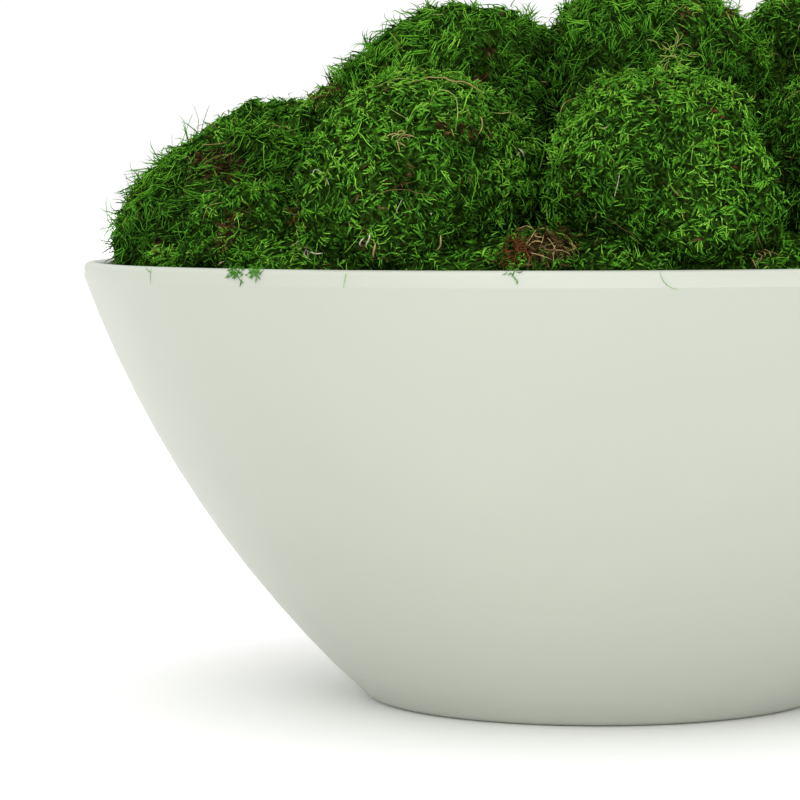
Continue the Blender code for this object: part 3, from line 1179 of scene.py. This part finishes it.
CUSHIONS = (
    Cushion("moss_front_left", MossKind.SHEET, comb=(0.7, 0.0, 0.0), swirl=0.3, tone_shift=0.02),
    Cushion("moss_front_middle", MossKind.SHEET, tone_shift=0.04, comb=(-0.4, 0.0, 0.0)),
    Cushion("moss_front_right", MossKind.SHEET, tone_shift=-0.16, share=0.95),
    Cushion("moss_right", MossKind.SHEET, share=0.62, most_rings=2),
    Cushion("moss_right_rear", MossKind.GRASSY, share=0.62, most_rings=2),
    Cushion("moss_rear_right", MossKind.SHEET, swirl=0.4, share=0.62, most_rings=2),
    Cushion("moss_rear", MossKind.SHEET, share=0.62, most_rings=2),
    Cushion("moss_rear_left", MossKind.GRASSY, share=0.62, most_rings=2),
    Cushion("moss_left_rear", MossKind.SHEET, swirl=-0.4, share=0.80, most_rings=2),
    Cushion("moss_left", MossKind.GRASSY, tone_shift=-0.26, share=0.92),
    Cushion("moss_crown_left", MossKind.MOOD, comb=(-0.5, 0.0, 0.3), tone_shift=-0.22, share=0.92),
    Cushion("moss_crown_front", MossKind.MOOD, comb=(0.2, 0.0, 0.2), tone_shift=-0.18, share=0.92),
    Cushion("moss_crown_right", MossKind.SHEET, tone_shift=-0.18, share=0.9),
    Cushion("moss_crown_rear", MossKind.MOOD, swirl=0.5, share=0.62, most_rings=2),
    Cushion("moss_crown_rear_left", MossKind.MOOD, swirl=-0.5, share=0.62, most_rings=2),
    Cushion("moss_small_front", MossKind.DRY),
    Cushion("moss_small_left", MossKind.SHEET, tone_shift=-0.12),
    Cushion("moss_small_right", MossKind.SHEET, tone_shift=-0.10),
    Cushion("moss_small_rear", MossKind.DRY),
    Cushion("moss_small_rear_left", MossKind.SHEET, tone_shift=-0.10),
    Cushion("moss_small_inner_left", MossKind.SHEET, tone_shift=0.04),
)

HOLLOWS = (
    Hollow((220, 160), 0.020, 0.004, 0.8),
    Hollow((225, 232), 0.016, 0.004, 0.7),
    Hollow((291, 225), 0.008, 0.002, 0.9),
    Hollow((392, 182), 0.016, 0.004, 0.45),
    Hollow((435, 122), 0.008, 0.003, 0.35),
    Hollow((350, 190), 0.007, 0.002, 0.5),
    Hollow((780, 66), 0.014, 0.004, 0.7),
    Hollow((330, 92), 0.010, 0.003, 0.7),
    Hollow((545, 240), 0.016, 0.002, 0.9),
    Hollow((378, 36), 0.026, 0.005, 0.0),
)


class MossGarden:
    """All the moss: a mat with coats of shoots for each cushion, and low moss between them."""

    SEED = 7
    ROUNDING = 3
    GAP_CLOSED, GAP_OPEN = 0.0005, 0.0045
    BED_CLOSED, BED_OPEN = -0.0015, 0.001
    RIM_CLOSED, RIM_OPEN = 0.014, 0.004
    HIDDEN = 0.02
    RIM_FRINGE = 0.010
    EDGE = (0.220, 0.228)
    PUFF = 0.0014
    LUMP = 0.0034
    LUMP_SCALE = 48.0
    RAYS = 20
    RAY_LIFT = 0.008
    RAY_REACH = 0.04
    THINNEST = 0.42
    AIRY = 0.6
    BED_RADIUS = 0.2405
    BED_RINGS, BED_SPOKES = 22, 160
    BED_LIFT = 0.013
    BED_SUNK = 0.004

    def __init__(self, tree: ShootTree, camera: StudioCamera) -> None:
        """Read the rim's height, and make a search tree of each solid.

        Args:
            tree: The node tree that grows the shoots.
            camera: The camera, for the places that the photograph shows.
        """
        self.tree = tree
        self.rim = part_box("bowl")[1].z
        nodes = frame["nodes"]
        self.solids = {name: self.search([node]) for name, node in nodes.items()}
        self.whole = self.search(nodes.values())
        mounds = self.search(node for name, node in nodes.items() if name.startswith("moss"))
        self.airy: list[tuple[Vector, Vector]] = []
        self.hollows = []
        for hollow in HOLLOWS:
            place = mounds.ray_cast(Vector(camera.place), camera.sight(hollow.centre))[0]
            if place is not None:
                self.hollows.append((place, hollow))

    @staticmethod
    def search(nodes: Iterable[bpy.types.Object]) -> BVHTree:
        """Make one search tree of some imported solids."""
        places, faces = [], []
        for node in nodes:
            first = len(places)
            places += [vertex.co.copy() for vertex in node.data.vertices]
            faces += [[first + index for index in face.vertices] for face in node.data.polygons]
        return BVHTree.FromPolygons(places, faces)

    def gap(self, place: Vector, own: str) -> float:
        """The distance to the nearest other solid but the bowl, below 0 inside it."""
        least = self.GAP_OPEN * 2
        for name, solid in self.solids.items():
            if name in (own, "bowl"):
                continue
            found, normal, _, distance = solid.find_nearest(place, least)
            if found is None:
                continue
            if (place - found).dot(normal) < 0:
                return -distance
            least = distance
        return least

    def exposure(self, place: Vector, normal: Vector, rays: Sequence[Vector]) -> float:
        """The share of rays from a place that leave the moss freely."""
        start = place + normal * self.RAY_LIFT
        free = 0
        for ray in rays:
            aim = ray if ray.dot(normal) > 0 else -ray
            free += self.whole.ray_cast(start, aim, self.RAY_REACH)[0] is None
        return free / len(rays)

    def mark(
        self, shape: bmesh.types.BMesh, node: str, closed: float, clear_of: float, thinnest: float
    ) -> None:
        """Store how open and how rotten each point of a mat is, and sink the hollows.

        Args:
            shape: The mat.
            node: The solid that it dresses.
            closed: The distance to another solid at which nothing grows.
            clear_of: The distance at which the shoots stand at their densest.
            thinnest: The share of shoots in a place that is wholly covered.
        """
        draw = random.Random(self.SEED)
        rays = [Vector([draw.gauss(0, 1) for _ in range(3)]).normalized() for _ in range(self.RAYS)]
        opened = shape.verts.layers.float.new(ShootTree.OPEN)
        rotten = shape.verts.layers.float.new(ShootTree.ROT)
        edging = shape.verts.layers.float.new(ShootTree.RIM)
        shape.normal_update()
        for vertex in shape.verts:
            place = vertex.co.copy()
            clear = smooth_step(self.gap(place, node), closed, clear_of)
            above = smooth_step(place.z, self.rim - self.RIM_CLOSED, self.rim - self.RIM_OPEN)
            vertex[opened] = clear * above
            low = 1 - smooth_step(place.z, self.rim + self.RIM_FRINGE / 2, self.rim + self.RIM_FRINGE)
            vertex[edging] = low * smooth_step(place.to_2d().length, *self.EDGE)
            if vertex[opened] > 0:
                seen = smooth_step(self.exposure(place, vertex.normal, rays), 0.05, 0.6)
                vertex[opened] *= thinnest + (1 - thinnest) * seen
                if vertex[opened] > self.AIRY and place.z > self.rim + self.RIM_OPEN:
                    self.airy.append((place, vertex.normal.copy()))
            for centre, hollow in self.hollows:
                near = 1 - smooth_step((place - centre).length, hollow.reach * 0.4, hollow.reach)
                vertex[rotten] = max(vertex[rotten], near * hollow.rot)
                vertex.co -= vertex.normal * near * hollow.depth

    def mat(self, node: str) -> bpy.types.Object:
        """Smooth a cushion's solid into the lumpy mat that its shoots grow on.

        Args:
            node: The solid's name.

        Returns:
            The mat.
        """
        shape = bmesh.new()
        shape.from_mesh(frame["nodes"][node].data)
        bmesh.ops.remove_doubles(shape, verts=shape.verts, dist=WELD)
        shown = {v for v in shape.verts if v.co.z > self.rim - self.HIDDEN and self.gap(v.co, node) > 0.002}
        edges = [edge for edge in shape.edges if shown.issuperset(edge.verts)]
        bmesh.ops.subdivide_edges(shape, edges=edges, cuts=1, use_grid_fill=True)
        bmesh.ops.triangulate(shape, faces=shape.faces)
        for _ in range(self.ROUNDING):
            bmesh.ops.smooth_vert(
                shape, verts=shape.verts, factor=0.5, use_axis_x=True, use_axis_y=True, use_axis_z=True
            )
        lumps = shape.verts.layers.float.new(ShootTree.LUMP)
        shape.normal_update()
        for vertex in shape.verts:
            vertex[lumps] = noise.fractal(vertex.co * self.LUMP_SCALE, 1.0, 2.0, 3)
            vertex.co += vertex.normal * (self.PUFF + vertex[lumps] * self.LUMP)
        self.mark(shape, node, self.GAP_CLOSED, self.GAP_OPEN, self.THINNEST)
        return link_mesh(node + "_mat", shape)

    def bed_height(self, radius: float, bearing: float) -> float:
        """The low moss's height over the bed: it swells up to the rim between the cushions."""
        crown, edge, drop = 0.045, 0.2418, 0.017
        height = self.rim + crown - (crown + drop) * (radius / edge) ** 2
        swell = smooth_step(radius, 0.165, 0.215) * (1 - 0.6 * smooth_step(radius, 0.236, 0.2405))
        wave = noise.noise(Vector((radius * math.cos(bearing), radius * math.sin(bearing), 0)) * 45)
        return height + 0.002 + swell * (self.BED_LIFT + 0.004 * wave)

    def bed_mat(self) -> bpy.types.Object:
        """Make the closed mat of the low moss that shows between the cushions.

        Returns:
            The mat.
        """
        shape = bmesh.new()
        layers = []
        for sunk in (0.0, self.BED_SUNK):
            rings = [[shape.verts.new((0, 0, self.bed_height(0, 0) - sunk))] * self.BED_SPOKES]
            for ring in range(1, self.BED_RINGS + 1):
                radius = self.BED_RADIUS * (ring / self.BED_RINGS) ** 0.8
                turns = [2 * math.pi * spoke / self.BED_SPOKES for spoke in range(self.BED_SPOKES)]
                heights = [self.bed_height(radius, turn) - sunk for turn in turns]
                rings.append(
                    [
                        shape.verts.new((radius * math.cos(turn), radius * math.sin(turn), height))
                        for turn, height in zip(turns, heights)
                    ]
                )
            layers.append(rings)
        for rings in layers:
            for inner, outer in zip(rings, rings[1:]):
                self.bridge(shape, inner, outer)
        self.bridge(shape, layers[0][-1], layers[1][-1])
        bmesh.ops.recalc_face_normals(shape, faces=shape.faces)
        self.mark(shape, "foam_bed", self.BED_CLOSED, self.BED_OPEN, 0.0)
        opened = shape.verts.layers.float[ShootTree.OPEN]
        for vertex in shape.verts:
            if vertex.normal.z < 0:
                vertex[opened] = 0.0
        return link_mesh("bed_mat", shape)

    @staticmethod
    def bridge(shape: bmesh.types.BMesh, inner: Sequence, outer: Sequence) -> None:
        """Join two rings of points with faces; a ring of one repeated point makes a fan."""
        for index in range(len(inner)):
            after = (index + 1) % len(inner)
            corners = [inner[index], outer[index], outer[after], inner[after]]
            shape.faces.new(list(dict.fromkeys(corners)))

    def lay(self) -> None:
        """Make every cushion's mat and the low moss's mat, before anything grows on them."""
        self.mats = {cushion.node: self.mat(cushion.node) for cushion in CUSHIONS}
        self.low_mat = self.bed_mat()

    def ground(self, bowl: bpy.types.Object) -> BVHTree:
        """Make the search tree of what loose strands can lie on: all mats and the bowl."""
        return self.search([*self.mats.values(), self.low_mat, bowl])

    def make(self) -> list[bpy.types.Object]:
        """Grow every cushion and the low moss between them.

        Returns:
            The finished pieces.
        """
        made = []
        for number, cushion in enumerate(CUSHIONS, start=1):
            name = cushion.node + "_shoots"
            piece = self.tree.grow(self.mats[cushion.node], name, cushion.coats(number))
            slot = "dry_moss" if cushion.node.startswith("moss_small") else "moss"
            made.append(dress(piece, slot, cushion.node))
        coats = [replace(coat, seed=500 + index) for index, coat in enumerate(MossKind.LITTER.value)]
        made.append(dress(self.tree.grow(self.low_mat, "bed_moss", coats), "dry_moss"))
        return made


class Tint(float, Enum):
    """Where a strand's colour lies on the moss's map."""

    RUST = 0.004
    TAN = 0.030
    BROWN = 0.070
    TWIG = 0.960
    OLIVE = 0.130
    MOSS = 0.400
    LEAF = 0.600
    LIME = 0.840
    STRAW = 0.925
    PALE = 0.990


@dataclass(frozen=True)
class Strand:
    """A twig, stem or curl that the photograph shows lying on the moss."""

    path: tuple[Pixel, ...]
    tint: Tint
    width: float = 0.0006
    lift: float = 0.0042


@dataclass(frozen=True)
class Wisp:
    """A tuft of short curled strands round a pixel of the photograph."""

    centre: Pixel
    reach: float
    count: int
    tints: tuple[Tint, ...]
    length: float = 0.008
    width: float = 0.0006
    lift: float = 0.0045
    heading: tuple[float, float, float] | None = None


STRANDS = (
    Strand(((407, 87.5), (431, 84), (448, 87), (470, 92), (486, 101)), Tint.TWIG, 0.0009),
    Strand(((459, 117), (460, 106), (463, 98), (470, 90)), Tint.LIME, 0.0007),
    Strand(((389, 192), (402, 184), (418, 173)), Tint.OLIVE),
    Strand(((361, 122), (364, 134), (369, 144), (377, 151)), Tint.LIME, 0.0005),
    Strand(((476, 118), (475, 134)), Tint.TWIG, 0.0007),
    Strand(((487, 115), (505, 118), (515, 123), (525, 130)), Tint.STRAW),
    Strand(((515, 149), (516, 155), (520, 158)), Tint.PALE, 0.0009),
    Strand(((516, 153), (513, 157)), Tint.PALE, 0.0008),
    Strand(((363, 246), (364, 241), (367, 237)), Tint.PALE, 0.0008),
    Strand(((369, 246), (372, 240), (371, 232)), Tint.PALE, 0.0008),
    Strand(((377, 242), (376, 257)), Tint.TWIG, 0.0012),
    Strand(((313, 250), (319, 249), (326, 251)), Tint.PALE, 0.0011),
    Strand(((296, 226), (295, 234), (300, 243)), Tint.STRAW, 0.0006),
    Strand(((314, 178), (319, 174), (327, 176)), Tint.PALE, 0.0005),
    Strand(((326, 184), (329, 177), (330, 172)), Tint.TAN, 0.0008),
    Strand(((357, 174), (359, 186), (364, 198)), Tint.LIME, 0.0006),
    Strand(((366, 197), (391, 192), (404, 192), (441, 198)), Tint.TAN, 0.0005),
    Strand(((482, 261), (488, 253)), Tint.LIME, 0.0011),
    Strand(((499, 253), (512, 244)), Tint.LIME, 0.0011),
    Strand(((434, 249), (439, 234)), Tint.TWIG, 0.0009),
    Strand(((429, 211), (430, 216)), Tint.PALE, 0.0012),
    Strand(((336, 241), (342, 258), (347, 272), (351, 280)), Tint.LEAF, 0.0005),
    Strand(((352, 262), (346, 275), (344, 288)), Tint.LIME, 0.0005),
    Strand(((358, 260), (350, 270), (346, 276)), Tint.LEAF, 0.0005),
    Strand(((728, 166), (735, 170)), Tint.BROWN, 0.0026),
)

DOWN = (0.0, -0.5, -1.0)
WISPS = (
    Wisp((401, 140), 6, 12, (Tint.TWIG, Tint.STRAW), 0.006),
    Wisp((307, 252), 9, 12, (Tint.PALE, Tint.STRAW, Tint.OLIVE), 0.006),
    Wisp((518, 252), 9, 30, (Tint.RUST,), 0.007, 0.0008),
    Wisp((552, 246), 21, 44, (Tint.TWIG, Tint.TAN, Tint.BROWN, Tint.BROWN), 0.011),
    Wisp((672, 55), 15, 24, (Tint.LIME, Tint.STRAW), 0.011),
    Wisp((760, 257), 6, 12, (Tint.TWIG, Tint.TAN), 0.006),
    Wisp((326, 92), 13, 26, (Tint.RUST, Tint.BROWN, Tint.TAN), 0.009),
    Wisp((292, 219), 5, 12, (Tint.RUST, Tint.TAN), 0.006),
    Wisp((236, 268), 9, 60, (Tint.MOSS,), 0.003, 0.0007, 0.002, DOWN),
    Wisp((255, 269), 5, 60, (Tint.MOSS, Tint.MOSS, Tint.LEAF), 0.003, 0.0007, 0.002, DOWN),
    Wisp((512, 267), 9, 50, (Tint.MOSS, Tint.LEAF), 0.003, 0.0006, 0.002, DOWN),
    Wisp((146, 264), 8, 8, (Tint.LEAF,), 0.011, 0.0003, 0.003, DOWN),
    Wisp((176, 265), 6, 4, (Tint.LEAF,), 0.011, 0.0003, 0.003, DOWN),
    Wisp((660, 266), 7, 6, (Tint.LEAF,), 0.011, 0.0003, 0.003, DOWN),
)


class LooseStrands:
    """Twigs, pale curls and stray hairs that lie on the moss, in one piece."""

    SEED = 11
    STEP = 0.0025
    BESIDE_WALL = 0.0006
    LEAP = 0.020
    PIXEL_STEP = 2.5
    SOFTENING = 2
    STRAYS = 260
    STRAY_TINTS = (Tint.LIME, Tint.LIME, Tint.LEAF, Tint.LEAF, Tint.STRAW, Tint.OLIVE, Tint.TAN, Tint.TWIG)

    def __init__(self, tree: StrandTree, camera: StudioCamera, ground: BVHTree, rim: float) -> None:
        """Start with no strand.

        Args:
            tree: The node tree that sweeps the strands.
            camera: The camera, for the places that the photograph shows.
            ground: What the strands lie on.
            rim: The height of the bowl's rim.
        """
        self.tree = tree
        self.camera = camera
        self.ground = ground
        self.rim = rim
        self.draw = random.Random(self.SEED)
        self.lines = bmesh.new()
        self.widths = self.lines.verts.layers.float.new(StrandTree.WIDTH)
        self.hues = self.lines.verts.layers.float.new(StrandTree.HUE)

    def raise_off(self, place: Vector, normal: Vector, lift: float, share: float) -> Vector:
        """Lift a point off the ground: most at a strand's middle, least beside the bowl's wall."""
        on_wall = place.z < self.rim
        height = self.BESIDE_WALL if on_wall else lift * (0.45 + 0.55 * math.sin(math.pi * share))
        return place + normal * height

    def string(self, points: Sequence[Vector], width: float, tint: Tint) -> None:
        """Add a line of points to the strands, unless it leaps from one thing to another."""
        if len(points) < 2 or any((b - a).length > self.LEAP for a, b in zip(points, points[1:])):
            return
        soft = list(points)
        for _ in range(self.SOFTENING):
            inner = [(a + b * 2 + c) / 4 for a, b, c in zip(soft, soft[1:], soft[2:])]
            soft = [soft[0], *inner, soft[-1]]
        made = [self.lines.verts.new(point) for point in soft]
        for vertex in made:
            vertex[self.widths] = width
            vertex[self.hues] = tint.value
        for pair in zip(made, made[1:]):
            self.lines.edges.new(pair)

    def trace(self, strand: Strand) -> None:
        """Lay a strand along its path in the photograph."""
        eye = Vector(self.camera.place)
        pixels = []
        for (x0, y0), (x1, y1) in zip(strand.path, strand.path[1:]):
            steps = max(1, round(math.hypot(x1 - x0, y1 - y0) / self.PIXEL_STEP))
            pixels += [(x0 + (x1 - x0) * i / steps, y0 + (y1 - y0) * i / steps) for i in range(steps)]
        pixels.append(strand.path[-1])
        points = []
        for index, pixel in enumerate(pixels):
            place, normal, _, _ = self.ground.ray_cast(eye, self.camera.sight(pixel))
            if place is not None:
                points.append(self.raise_off(place, normal, strand.lift, index / (len(pixels) - 1)))
        self.string(points, strand.width, strand.tint)

    def creep(self, start: Vector, heading: Vector, length: float, turn: float, lift: float) -> list[Vector]:
        """Step along the ground from a place.

        Args:
            start: Where the strand starts.
            heading: Its first direction.
            length: Its length.
            turn: How fast it turns, in radians a step.
            lift: How high its middle lies.

        Returns:
            The strand's points.
        """
        steps = max(3, round(length / self.STEP))
        points = []
        place = start
        for index in range(steps + 1):
            found, normal, _, _ = self.ground.find_nearest(place)
            points.append(self.raise_off(found, normal, lift, index / steps))
            heading = Matrix.Rotation(turn + self.draw.gauss(0, 0.12), 3, normal) @ heading
            heading = (heading - normal * heading.dot(normal)).normalized()
            place = found + heading * (length / steps)
        return points

    def heading(self) -> Vector:
        """A random direction."""
        return Vector([self.draw.gauss(0, 1) for _ in range(3)]).normalized()

    def curl(self, wisp: Wisp) -> None:
        """Lay the curled strands of a tuft round its place in the photograph."""
        eye = Vector(self.camera.place)
        for _ in range(wisp.count):
            pixel = tuple(self.draw.gauss(middle, wisp.reach / 2) for middle in wisp.centre)
            place = self.ground.ray_cast(eye, self.camera.sight(pixel))[0]
            length = wisp.length * self.draw.uniform(0.6, 1.4)
            turn = self.draw.uniform(-0.7, 0.7)
            lift = wisp.lift * self.draw.uniform(0.5, 1.2)
            width = wisp.width * self.draw.uniform(0.7, 1.2)
            tint = self.draw.choice(wisp.tints)
            heading = self.heading()
            if wisp.heading:
                heading = (heading * 0.6 + Vector(wisp.heading)).normalized()
            if place is not None:
                self.string(self.creep(place, heading, length, turn, lift), width, tint)

    def make(self, airy: Sequence[tuple[Vector, Vector]]) -> bpy.types.Object:
        """Lay all strands and sweep them.

        Args:
            airy: Open places on the moss with their normals, where stray hairs start.

        Returns:
            The strands' piece.
        """
        for strand in STRANDS:
            self.trace(strand)
        for wisp in WISPS:
            self.curl(wisp)
        for _ in range(self.STRAYS):
            start, _ = self.draw.choice(airy)
            length = self.draw.uniform(0.012, 0.034)
            turn = self.draw.uniform(-0.22, 0.22)
            lift = self.draw.uniform(0.0035, 0.006)
            width = self.draw.uniform(0.0003, 0.0005)
            tint = self.draw.choice(self.STRAY_TINTS)
            self.string(self.creep(start, self.heading(), length, turn, lift), width, tint)
        base = link_mesh("strand_lines", self.lines)
        shape = self.tree.run(base, [{"taper": 0.7, "darkest": 0.72, "brightest": 0.95}])
        bmesh.ops.recalc_face_normals(shape, faces=shape.faces)
        return dress(self.tree.finish("loose_strands", shape), "dry_moss")


@dataclass
class Studio:
    """A pale floor and soft white light."""

    floor_half: float = 30.0
    world_strength: float = 1.02
    sun_strength: float = 0.9
    sun_tilt: tuple[float, float, float] = (1.1, 0.0, -0.3)
    top_strength: float = 0.8
    top_tilt: tuple[float, float, float] = (0.15, 0.0, 0.0)
    sun_spread: float = 60.0
    fill_power: float = 13.0
    fill_size: tuple[float, float] = (3.4, 0.4)
    fill_place: tuple[float, float, float] = (0.9, -2.1, 0.12)

    def make_floor(self) -> None:
        """Lay the floor."""
        shape = bmesh.new()
        bmesh.ops.create_grid(shape, x_segments=1, y_segments=1, size=self.floor_half)
        floor = link_mesh("floor", shape)
        floor.data.materials.append(DullFinish("floor", (0.94, 0.94, 0.935), (0.95, 0.95, 0.945), 0.5).make())

    def make_fill(self) -> None:
        """Hang a wide low soft lamp in front, aimed at the bowl."""
        data = bpy.data.lights.new("fill", "AREA")
        data.shape = "RECTANGLE"
        data.size, data.size_y = self.fill_size
        data.energy = self.fill_power
        lamp = bpy.data.objects.new("fill", data)
        lamp.location = self.fill_place
        lamp.rotation_euler = (-Vector(self.fill_place)).to_track_quat("-Z", "Y").to_euler()
        lamp.visible_camera = False
        bpy.context.scene.collection.objects.link(lamp)

    def shine(self, name: str, strength: float, tilt: tuple[float, float, float]) -> None:
        """Add a very wide sun.

        Args:
            name: The light's name.
            strength: Its strength.
            tilt: Its turn from straight above.
        """
        data = bpy.data.lights.new(name, "SUN")
        data.energy = strength
        data.angle = math.radians(self.sun_spread)
        lamp = bpy.data.objects.new(name, data)
        lamp.rotation_euler = tilt
        bpy.context.scene.collection.objects.link(lamp)

    def make(self) -> None:
        """Set up the floor, the surrounding light, two wide soft suns and a low lamp in front."""
        scene = bpy.context.scene
        scene.view_settings.view_transform = "Standard"
        world = bpy.data.worlds.new("studio")
        world.use_nodes = True
        background = world.node_tree.nodes["Background"]
        background.inputs[0].default_value = (1.0, 1.0, 1.0, 1.0)
        background.inputs[1].default_value = self.world_strength
        scene.world = world
        self.make_floor()
        self.make_fill()
        self.shine("softbox", self.sun_strength, self.sun_tilt)
        self.shine("top_light", self.top_strength, self.top_tilt)


def dress_foam() -> None:
    """Give the foam bed its dull dark finish."""
    slots = frame["nodes"]["foam_bed"].data.materials
    slots.clear()
    slots.append(DullFinish("foam", (0.008, 0.010, 0.004), (0.020, 0.018, 0.008)).make())


def main() -> None:
    """Build every piece in order and report it."""
    logging.basicConfig(level=logging.INFO, format="%(name)s: %(message)s")
    camera = StudioCamera()
    camera.make()
    Studio().make()
    bowl = GlazedBowl().make()
    report(bowl)
    dress_foam()
    moss = MossFinish().make()
    garden = MossGarden(ShootTree(moss), camera)
    garden.lay()
    strands = LooseStrands(StrandTree(moss), camera, garden.ground(bowl), garden.rim)
    report(strands.make(garden.airy))
    for piece in garden.make():
        report(piece)


if __name__ == "__main__":
    main()
